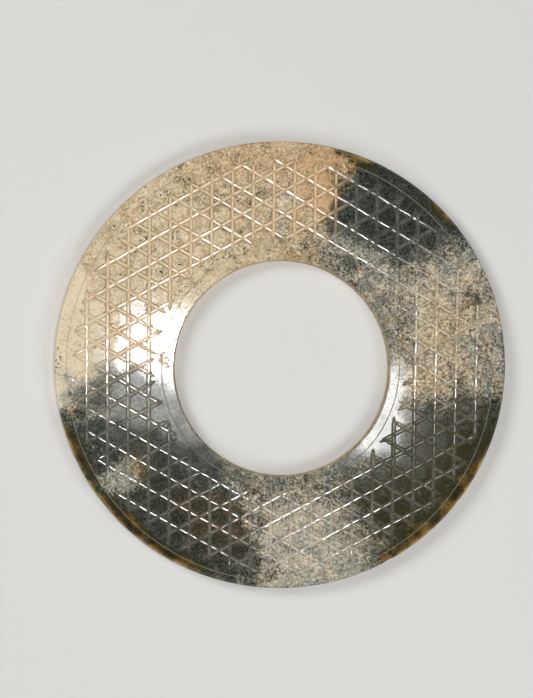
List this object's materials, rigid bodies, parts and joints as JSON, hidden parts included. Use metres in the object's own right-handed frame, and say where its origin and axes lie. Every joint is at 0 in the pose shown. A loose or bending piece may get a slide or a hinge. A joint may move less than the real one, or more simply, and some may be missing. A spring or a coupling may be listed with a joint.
{
  "type": "jade bi disc",
  "caption": "Flat round disc of nephrite jade with a wide round hole, straight grooves crossing in a rush mat pattern, and an incised circle inside the rim and round the hole.",
  "frame": {"origin": "middle of the outline, on the plain face that the disc lies on", "axes": "+Z out of the carved face, +Y towards the top of the face as it is read, +X to its right"},
  "size_m": [0.1408, 0.1392, 0.0045],
  "materials": {
    "jade": "polished nephrite, mottled cream, grey-green and brown with age, part matt"
  },
  "bodies": {
    "root": {"bi_disc": "jade"}
  },
  "joints": []
}
